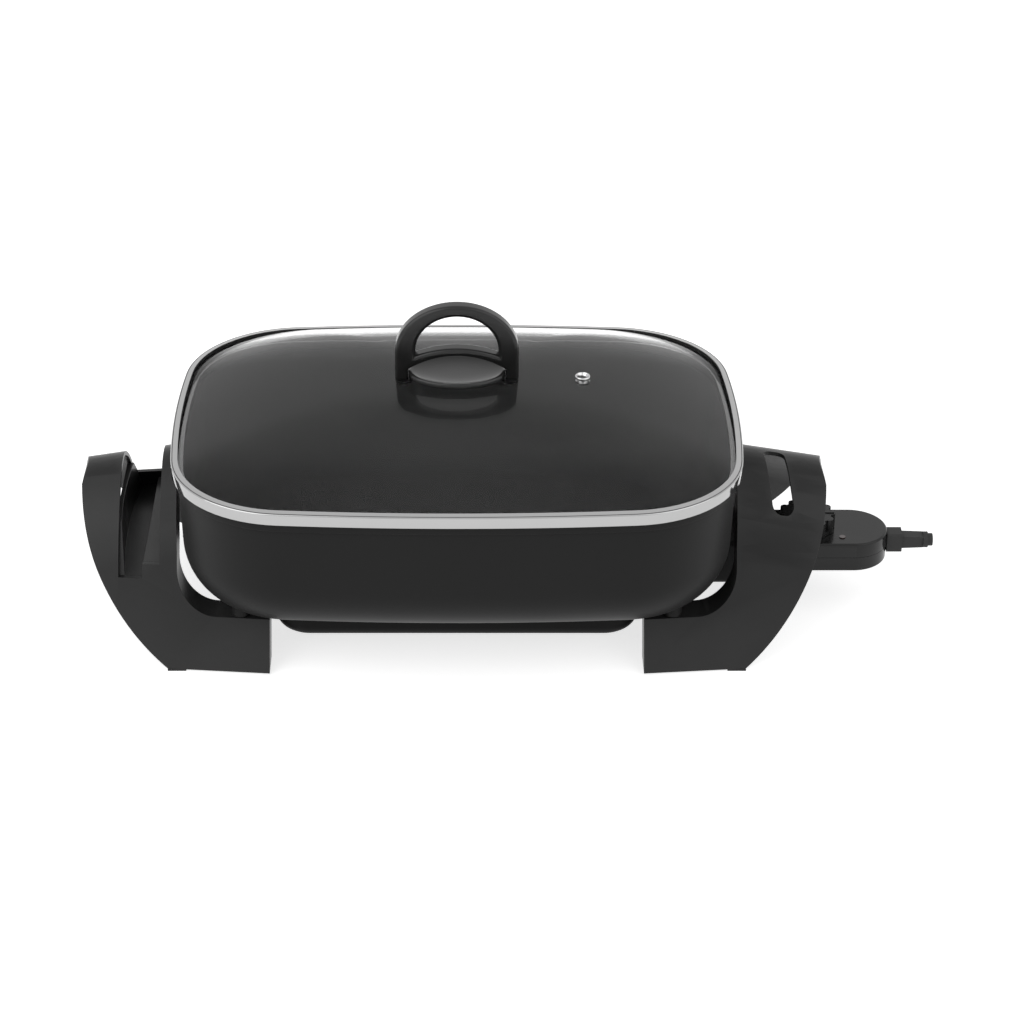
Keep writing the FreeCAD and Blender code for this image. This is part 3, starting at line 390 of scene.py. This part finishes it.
FINISHES = {
    "nonstick_coating": pan_coating("nonstick_coating", colour=0.019, rough=0.42, speckle=0.3),
    "pan_inside": pan_coating("pan_inside", colour=0.062, rough=0.38, speckle=0.5),
    "heater_sheath": polished_steel("heater_sheath", colour=0.22, rough=0.45),
    "plain_steel": polished_steel("plain_steel", colour=0.5, rough=0.35),
    "pin_metal": polished_steel("pin_metal", colour=0.72, rough=0.22),
    "ceramic": glazed_ceramic("ceramic"),
    "cover_black": pan_coating("cover_black", colour=0.008, rough=0.5, speckle=0.2),
    "screw_steel": polished_steel("screw_steel", colour=0.42, rough=0.32),
    "black_plastic": moulded_plastic("black_plastic", colour=0.010, rough=0.48),
    "handle_plastic": moulded_plastic("handle_plastic", colour=0.017, rough=0.36, gloss=0.20),
    "foot_rubber": soft_rubber("foot_rubber", colour=0.012),
    "lid_glass": clear_glass("lid_glass"),
    # Darker than real steel, because it has only white around it to show
    "ring_steel": polished_steel("ring_steel", colour=0.42, rough=0.08, brushed=(1.0, 1.0, 24.0)),
    "seal_silicone": soft_rubber("seal_silicone", colour=0.014),
    "vent_steel": polished_steel("vent_steel", colour=0.6, rough=0.14),
    "knob_plastic": moulded_plastic("knob_plastic", colour=0.011, rough=0.19, grain=0.000012,
                                    gloss=0.35),
    "control_plastic": moulded_plastic("control_plastic", colour=0.011, rough=0.22, grain=0.00001,
                                       gloss=0.25),
    "cord_rubber": soft_rubber("cord_rubber", colour=0.014),
    "rod_steel": polished_steel("rod_steel", colour=0.6, rough=0.2),
    "lens_amber": tinted_lens("lens_amber"),
    "dial_plastic": moulded_plastic("dial_plastic", colour=0.011, rough=0.32, grain=0.00002),
}


def finish_nodes():
    """Gives every solid's mesh its finish, and returns the solids' slots by name."""
    slots = {entry["node"]: entry["material_slot"] for entry in frame["record"]["subparts"]}
    for name, node in frame["nodes"].items():
        node.data.materials.clear()
        node.data.materials.append(FINISHES[slots[name]])
    return slots


NODE_SLOTS = finish_nodes()


def piece(name, mesh, body, slot, stands_for=()):
    """Puts a finished mesh in the scene, on its body, in place of the nodes it stands for."""
    thing = bpy.data.objects.new(name, mesh)
    bpy.context.scene.collection.objects.link(thing)
    mesh.materials.clear()
    mesh.materials.append(FINISHES[slot])
    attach(thing, body)
    if stands_for:
        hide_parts(*stands_for)
    return thing


def smooth(mesh, degrees=40.0):
    """Smooth shading, except at edges sharper than the angle."""
    mesh.polygons.foreach_set("use_smooth", [True] * len(mesh.polygons))
    mesh.set_sharp_from_angle(angle=math.radians(degrees))
    mesh.update()
    return mesh


def even_shading(thing):
    """Lets the large faces set the shading, so that only the rounded edges bend it."""
    weighted = thing.modifiers.new("even_shading", "WEIGHTED_NORMAL")
    weighted.keep_sharp = True
    weighted.weight = FLAT_WEIGHT


def arc(centre, half, start, end, steps):
    """Points of an ellipse's arc, with both ends."""
    points = []
    for i in range(steps + 1):
        a = start + (end - start) * i / steps
        points.append((centre[0] + half[0] * math.cos(a), centre[1] + half[1] * math.sin(a)))
    return points


def bow(half, z_end, z_mid, steps):
    """Points of a shallow circular arc from (-half, z_end) over (0, z_mid) to (half, z_end)."""
    rise = z_mid - z_end
    r = (half * half + rise * rise) / (2 * rise)
    points = []
    for i in range(steps + 1):
        x = -half + 2 * half * i / steps
        points.append((x, z_mid - r + math.sqrt(r * r - x * x)))
    return points


def corner_centre():
    """Centre of the corner arc that meets both side arcs of the ring's outline without a kink."""
    ra = LONG_SIDE_R - RING_CORNER_R
    rb = SHORT_SIDE_R - RING_CORNER_R
    ya = RING_HALF_Y - LONG_SIDE_R
    xb = RING_HALF_X - SHORT_SIDE_R
    dist = math.hypot(xb, ya)
    along = (ra * ra - rb * rb + dist * dist) / (2 * dist)
    across = math.sqrt(ra * ra - along * along)
    return along * xb / dist - across * ya / dist, ya - along * ya / dist - across * xb / dist


CORNER = corner_centre()


def outline(inset, z, scale=1.0):
    """Points round the lid ring's outline, set in by inset, the same count for every inset."""
    ya = RING_HALF_Y - LONG_SIDE_R
    xb = RING_HALF_X - SHORT_SIDE_R
    long_start = math.atan2(CORNER[1] - ya, CORNER[0])
    short_end = math.atan2(CORNER[1], CORNER[0] - xb)
    short_r = SHORT_SIDE_R - inset
    corner_r = RING_CORNER_R - inset
    long_r = LONG_SIDE_R - inset
    quarter = arc((xb, 0.0), (short_r, short_r), 0.0, short_end, SHORT_STEPS)[:-1]
    quarter += arc(CORNER, (corner_r, corner_r), short_end, long_start, CORNER_STEPS)[:-1]
    quarter += arc((0.0, ya), (long_r, long_r), long_start, math.pi / 2, LONG_STEPS)
    half = quarter + [(-x, y) for x, y in reversed(quarter[:-1])]
    ring = half + [(x, -y) for x, y in reversed(half[1:-1])]
    return [(x * scale, y * scale, z) for x, y in ring]


def loft(name, rings, closed=False, capped=False):
    """A mesh of quads through rings that all have the same number of points."""
    mesh = bpy.data.meshes.new(name)
    count = len(rings[0])
    last = (len(rings) - 1) * count
    starts = [(k * count, (k + 1) * count) for k in range(len(rings) - 1)]
    if closed:
        starts.append((last, 0))
    faces = []
    for a, b in starts:
        faces += [(a + i, a + (i + 1) % count, b + (i + 1) % count, b + i) for i in range(count)]
    if capped:
        faces.append(tuple(reversed(range(count))))
        faces.append(tuple(last + i for i in range(count)))
    mesh.from_pydata([point for ring in rings for point in ring], [], faces)
    bm = bmesh.new()
    bm.from_mesh(mesh)
    save_mesh(bm, mesh)
    return smooth(mesh)


def save_mesh(bm, mesh):
    """Turns all faces outwards and writes the result to the mesh."""
    bmesh.ops.recalc_face_normals(bm, faces=bm.faces)
    bm.to_mesh(mesh)
    bm.free()


def turned(name, profile, centre):
    """A mesh turned about an upright axis from (radius, height) points; radius 0 closes an end."""
    bm = bmesh.new()
    rings = []
    for r, z in profile:
        if r == 0.0:
            rings.append([bm.verts.new((centre[0], centre[1], z))])
            continue
        ring = []
        for i in range(TURNED_STEPS):
            a = 2 * math.pi * i / TURNED_STEPS
            ring.append(bm.verts.new((centre[0] + r * math.cos(a), centre[1] + r * math.sin(a), z)))
        rings.append(ring)
    for first, second in zip(rings, rings[1:]):
        for i in range(TURNED_STEPS):
            j = (i + 1) % TURNED_STEPS
            if len(first) == 1:
                bm.faces.new((first[0], second[i], second[j]))
            elif len(second) == 1:
                bm.faces.new((first[i], first[j], second[0]))
            else:
                bm.faces.new((first[i], first[j], second[j], second[i]))
    mesh = bpy.data.meshes.new(name)
    save_mesh(bm, mesh)
    return smooth(mesh)


def rounded(a, b, c, r):
    """Points that round the corner b between a and c with about radius r, in a profile's plane."""
    a = Vector(a)
    b = Vector(b)
    c = Vector(c)
    u = (a - b).normalized()
    v = (c - b).normalized()
    half = u.angle(v) / 2
    longest = ROUNDING_REACH * min((a - b).length, (c - b).length)
    reach = min(r / math.tan(half), longest)
    start = b + u * reach
    end = b + v * reach
    points = []
    for i in range(ROUNDING_STEPS + 1):
        t = i / ROUNDING_STEPS
        points.append(tuple(start.lerp(b, t).lerp(b.lerp(end, t), t)))
    return points


def rounded_loop(corners, radii):
    """The corners in order, each rounded with its radius; radius 0 leaves a corner sharp."""
    points = []
    for i, r in enumerate(radii):
        if r == 0:
            points.append(corners[i])
        else:
            points += rounded(corners[i - 1], corners[i], corners[(i + 1) % len(corners)], r)
    return points


def bowl_profile(top, low, step_in, bottom_r):
    """(inset, z) from the top of a tapered wall, round the bottom bend, to the flat floor."""
    drop = math.tan(PAN_TAPER)
    start = PAN_RIM_INSET + PAN_STEP + step_in
    centre_z = low + bottom_r
    centre_in = start + drop * (top - centre_z) + bottom_r / math.cos(PAN_TAPER)
    points = []
    for i in range(WALL_STEPS + 1):
        z = top + (centre_z - bottom_r * math.sin(PAN_TAPER) - top) * i / WALL_STEPS
        points.append((start + drop * (top - z), z))
    for i in range(1, BEND_STEPS + 1):
        a = PAN_TAPER + (math.pi / 2 - PAN_TAPER) * i / BEND_STEPS
        points.append((centre_in - bottom_r * math.cos(a), centre_z - bottom_r * math.sin(a)))
    return points


def build_pan():
    """Cast pan with its rim, and a lighter colour on the inside than on the outside."""
    outer = bowl_profile(PAN_TOP - PAN_RIM_H - WALL_DROP, PAN_LOW, 0.0, PAN_BOTTOM_R)
    inner = bowl_profile(PAN_TOP - MOUTH_DROP, PAN_LOW + PAN_FLOOR, PAN_WALL, PAN_BOTTOM_R - PAN_WALL)
    wall_in = PAN_RIM_INSET + PAN_STEP
    mouth_in = wall_in + PAN_WALL
    rim_corners = [
        (wall_in, PAN_TOP - PAN_RIM_H - RIM_FOOT_DROP),
        (PAN_RIM_INSET, PAN_TOP - PAN_RIM_H),
        (PAN_RIM_INSET, PAN_TOP),
        (mouth_in, PAN_TOP),
        (mouth_in, PAN_TOP - MOUTH_DROP),
    ]
    rim = rounded_loop(rim_corners, [0, RIM_FOOT_R, RIM_TOP_R, RIM_TOP_R, 0])
    rings = [outline(*outer[-1], scale) for scale in reversed(FLOOR_SCALES)]
    rings += [outline(inset, z) for inset, z in list(reversed(outer)) + rim]
    inside_ring = len(rings) - MOUTH_RINGS
    rings += [outline(inset, z) for inset, z in inner]
    rings += [outline(*inner[-1], scale) for scale in FLOOR_SCALES]
    mesh = loft("pan", rings, capped=True)
    piece("pan", mesh, "root", "nonstick_coating", ["pan_body"])
    mesh.materials.append(FINISHES["pan_inside"])
    first_inside = inside_ring * len(rings[0])
    outer_cap = len(mesh.polygons) - 2
    for face in mesh.polygons:
        face.material_index = int(face.index >= first_inside and face.index != outer_cap)


def build_bosses():
    """Four round bosses under the pan, on the handles' arms."""
    profile = [(0.0, BOSS_LOW), (BOSS_R - BOSS_CHAMFER, BOSS_LOW), (BOSS_R, BOSS_LOW + BOSS_CHAMFER),
               (BOSS_R, BOSS_NECK), (BOSS_R + BOSS_FLARE, PAN_LOW), (BOSS_R + 2 * BOSS_FLARE, BOSS_HIGH),
               (0.0, BOSS_HIGH)]
    for number, (side_x, side_y) in enumerate(BOSS_SIDES, start=1):
        name = f"pan_leg_boss_{number}"
        mesh = turned(name, profile, (side_x * BOSS_X, side_y * BOSS_Y))
        piece(name, mesh, "root", "nonstick_coating")


def dome_point(scale, depth):
    """(scale, z) of the glass at a scale of its outline, depth below its outer face."""
    z = GLASS_EDGE + DOME_H * (1 - scale ** DOME_POWER)
    slope = DOME_H * DOME_POWER * scale ** (DOME_POWER - 1) / GLASS_HALF_X
    length = math.hypot(slope, 1.0)
    return scale - depth * slope / length / GLASS_HALF_X, z - depth / length


def build_glass():
    """Domed lid glass of even thickness."""
    inner = [dome_point(scale, GLASS_T) for scale in reversed(DOME_SCALES)]
    edge = [(GLASS_LOW_SCALE, GLASS_EDGE - GLASS_T + GLASS_ROUND_LOW), (1.0, GLASS_EDGE - GLASS_ROUND_TOP)]
    outer = [dome_point(scale, 0.0) for scale in DOME_SCALES]
    rings = [outline(GLASS_INSET, z, scale) for scale, z in inner + edge + outer]
    piece("glass_dome", loft("glass", rings, capped=True), "lid", "lid_glass", ["lid_glass"])


def build_ring():
    """Rolled steel ring: outer band, lip over the glass, and a skirt that hangs into the pan."""
    t = RING_SHEET
    low = LID_LOW
    top = LID_LOW + RING_H
    side = top - RING_FALL
    skirt = PAN_RIM_INSET + PAN_STEP + PAN_WALL + SKIRT_GAP
    corners = [(0.0, low), (0.0, side), (RING_LIP, top), (RING_LIP, top - t), (t, side - t), (t, low + t),
               (skirt + t, low + t), (skirt + t, low - SKIRT_DROP), (skirt, low - SKIRT_DROP), (skirt, low)]
    rings = [outline(inset, z) for inset, z in rounded_loop(corners, RING_RADII)]
    mesh = smooth(loft("ring", rings, closed=True), degrees=55.0)
    piece("steel_ring", mesh, "lid", "ring_steel", ["lid_ring"])


def flat_plate(name, loops, depth, edge_r):
    """A plate cut to the loops, standing in the XZ plane, with rounded edges."""
    curve = bpy.data.curves.new(name, "CURVE")
    curve.dimensions = "2D"
    curve.fill_mode = "BOTH"
    curve.extrude = depth / 2 - edge_r
    curve.bevel_depth = edge_r
    curve.bevel_resolution = EDGE_STEPS
    curve.offset = -edge_r
    for loop in loops:
        spline = curve.splines.new("POLY")
        spline.points.add(len(loop) - 1)
        for point, (x, z) in zip(spline.points, loop):
            point.co = (x, z, 0.0, 1.0)
        spline.use_cyclic_u = True
    holder = bpy.data.objects.new(name, curve)
    bpy.context.scene.collection.objects.link(holder)
    bpy.context.view_layer.update()
    mesh = bpy.data.meshes.new_from_object(holder.evaluated_get(bpy.context.evaluated_depsgraph_get()))
    bpy.data.objects.remove(holder)
    bpy.data.curves.remove(curve)
    bm = bmesh.new()
    bm.from_mesh(mesh)
    bmesh.ops.remove_doubles(bm, verts=bm.verts, dist=CURVE_MERGE)
    for vert in bm.verts:
        x, z, y = vert.co
        vert.co = (x, -y, z)
    save_mesh(bm, mesh)
    return smooth(mesh, degrees=35.0)


def build_lid_handle():
    """Loop handle on the glass, with an opening over its low bridge."""
    foot = KNOB_Z - ARCH_FOOT_DEPTH
    under_half = DISH_X + DISH_GAP
    crown = arc((0.0, KNOB_Z + ARCH_SPRING), (ARCH_HALF_W, ARCH_TOP - ARCH_SPRING), 0.0, math.pi, ARCH_STEPS)
    left_foot = [(-ARCH_HALF_W, foot), (-under_half, foot)]
    under = bow(under_half, KNOB_Z + BRIDGE_END, KNOB_Z + BRIDGE_LOW, BRIDGE_LOW_STEPS)
    right_foot = [(under_half, foot), (ARCH_HALF_W, foot)]
    hole_half = ARCH_HALF_W - ARCH_SIDE
    hole_low = KNOB_Z + BRIDGE_TOP - BRIDGE_DIP
    hole_rise = ARCH_TOP - ARCH_CROWN - BRIDGE_TOP + BRIDGE_DIP
    hole = arc((0.0, hole_low), (hole_half, hole_rise), 0.0, math.pi, HOLE_STEPS)
    hole += bow(hole_half, KNOB_Z + BRIDGE_TOP - BRIDGE_FALL, KNOB_Z + BRIDGE_TOP, BRIDGE_TOP_STEPS)
    loops = [crown + left_foot + under + right_foot, hole]
    mesh = flat_plate("loop_handle", loops, ARCH_DEPTH, ARCH_EDGE_R)
    even_shading(piece("loop_handle", mesh, "lid", "knob_plastic", ["lid_handle"]))


def build_dish():
    """Oval thumb dish under the loop, hollowed on top."""
    base = KNOB_Z - DISH_FOOT
    top = KNOB_Z + DISH_H
    profile = [(scale, base) for scale in DISH_UNDER_SCALES] + [(1.0, base + DISH_FOOT)]
    profile += [(scale, top - mm(fall)) for scale, fall in DISH_PROFILE]
    rings = []
    for scale, z in profile:
        ring = []
        for i in range(DISH_STEPS):
            a = 2 * math.pi * i / DISH_STEPS
            ring.append((DISH_X * scale * math.cos(a), DISH_Y * scale * math.sin(a), z))
        rings.append(ring)
    piece("thumb_dish", loft("dish", rings, capped=True), "lid", "knob_plastic", ["lid_handle_dish"])


def build_vent():
    """Steel eyelet through the glass, flared on top and riveted below."""
    _, z = dome_point(VENT_X / GLASS_HALF_X, 0.0)
    profile = [(mm(radius), z + mm(height)) for radius, height in VENT_PROFILE]
    mesh = turned("vent_eyelet", profile, (VENT_X, VENT_Y))
    piece("vent_eyelet", mesh, "lid", "vent_steel", ["steam_vent"])


def softened(node, name, body, width):
    """A copy of a solid's mesh with its flats joined up and its sharp edges rounded over."""
    mesh = frame["nodes"][node].data.copy()
    bm = bmesh.new()
    bm.from_mesh(mesh)
    bmesh.ops.remove_doubles(bm, verts=bm.verts, dist=SOLID_MERGE)
    bmesh.ops.dissolve_limit(bm, angle_limit=SOLID_FLAT, verts=bm.verts, edges=bm.edges)
    sharp = [e for e in bm.edges if len(e.link_faces) == 2 and e.calc_face_angle(0.0) > SOLID_SHARP]
    bmesh.ops.bevel(bm, geom=sharp, offset=width, segments=SOLID_SEGMENTS, profile=0.5, affect="EDGES",
                    clamp_overlap=True, miter_outer="ARC")
    save_mesh(bm, mesh)
    even_shading(piece(name, smooth(mesh, degrees=50.0), body, NODE_SLOTS[node], [node]))


def build_base():
    """Handles with their legs, lid rest, base cover and socket shroud."""
    softened("left_handle", "left_leg_handle", "root", mm(1.0))
    softened("right_handle", "right_leg_handle", "root", mm(1.0))
    softened("lid_rest_channel", "lid_rest", "root", mm(0.4))
    softened("bottom_cover", "base_cover", "root", mm(0.3))
    softened("socket_housing", "socket_shroud", "root", mm(0.5))


def build_control():
    """Heat control: both halves of its case, the dial and the cord's sleeve."""
    softened("control_lower_shell", "control_lower_case", "control", mm(0.35))
    softened("control_upper_shell", "control_upper_case", "control", mm(0.35))
    softened("temperature_dial", "dial_knob", "dial", mm(0.4))
    softened("cord_strain_relief", "cord_sleeve", "control", mm(0.4))


def area_light(name, place, power):
    """A large square lamp that faces the skillet."""
    data = bpy.data.lights.new(name, "AREA")
    data.shape = "RECTANGLE"
    data.size = LAMP_SIZE
    data.size_y = LAMP_SIZE
    data.energy = power
    lamp = bpy.data.objects.new(name, data)
    lamp.location = place
    aim = Vector(LAMP_TARGET) - Vector(place)
    lamp.rotation_euler = aim.to_track_quat("-Z", "Y").to_euler()
    bpy.context.scene.collection.objects.link(lamp)


def build_floor():
    """White paper floor that keeps the shadow; it shows as white in metal and through glass."""
    mesh = bpy.data.meshes.new("floor")
    r = FLOOR_HALF
    mesh.from_pydata([(-r, -r, 0), (r, -r, 0), (r, r, 0), (-r, r, 0)], [], [(0, 1, 2, 3)])
    floor = bpy.data.objects.new("floor", mesh)
    bpy.context.scene.collection.objects.link(floor)
    f = new_finish("floor_white")
    paper = f.node("ShaderNodeBsdfDiffuse", {}, {"Color": grey(FLOOR_PAPER)})
    glow = f.node("ShaderNodeEmission", {}, {"Color": grey(1.0), "Strength": FLOOR_GLOW})
    bright = f.node("ShaderNodeAddShader", {}, {0: paper, 1: glow})
    seen = (f.ray("Is Camera Ray") + f.ray("Is Glossy Ray") + f.ray("Is Transmission Ray")).clamp()
    mesh.materials.append(f.show(f.node("ShaderNodeMixShader", {}, {0: seen, 1: paper, 2: bright})))


def build_world():
    """White to the camera and in reflections, and an even, dimmer light otherwise.

    Through glass it shows that dimmer light too: such rays count as glossy, and the last term
    takes them out again. Only the floor is white through glass.
    """
    world = bpy.data.worlds.new("studio")
    bpy.context.scene.world = world
    f = Finish(world, "ShaderNodeOutputWorld")
    even = f.node("ShaderNodeBackground", {}, {"Color": grey(1.0), "Strength": WORLD_LEVEL})
    white = f.node("ShaderNodeBackground", {}, {"Color": grey(1.0), "Strength": 1.0})
    through = f.ray("Is Transmission Ray") * (1 - f.ray("Ray Depth"))
    seen = (f.ray("Is Camera Ray") + f.ray("Is Glossy Ray") + through).clamp()
    f.show(f.node("ShaderNodeMixShader", {}, {0: seen, 1: even, 2: white}))


def build_lamps():
    area_light("key_left", place=(-1.6, -1.0, 1.7), power=26.0)
    area_light("key_right", place=(1.7, -0.9, 1.6), power=13.0)


def build_camera():
    """Camera that sees the skillet as the photograph does."""
    data = bpy.data.cameras.new("camera")
    data.sensor_width = SENSOR_MM
    data.lens = SENSOR_MM * FOCAL_PX / FRAME_PX
    data.shift_x = (FRAME_PX / 2 - CENTRE_U) / FRAME_PX
    data.clip_end = CAM_REACH
    camera = bpy.data.objects.new("camera", data)
    camera.location = CAM_PLACE
    camera.rotation_euler = (math.pi / 2 - CAM_PITCH, 0.0, 0.0)
    bpy.context.scene.collection.objects.link(camera)
    bpy.context.scene.camera = camera


build_camera()
build_floor()
build_world()
build_lamps()
build_pan()
build_bosses()
build_glass()
build_ring()
build_lid_handle()
build_dish()
build_vent()
build_base()
build_control()
bpy.context.scene.view_settings.view_transform = "Standard"
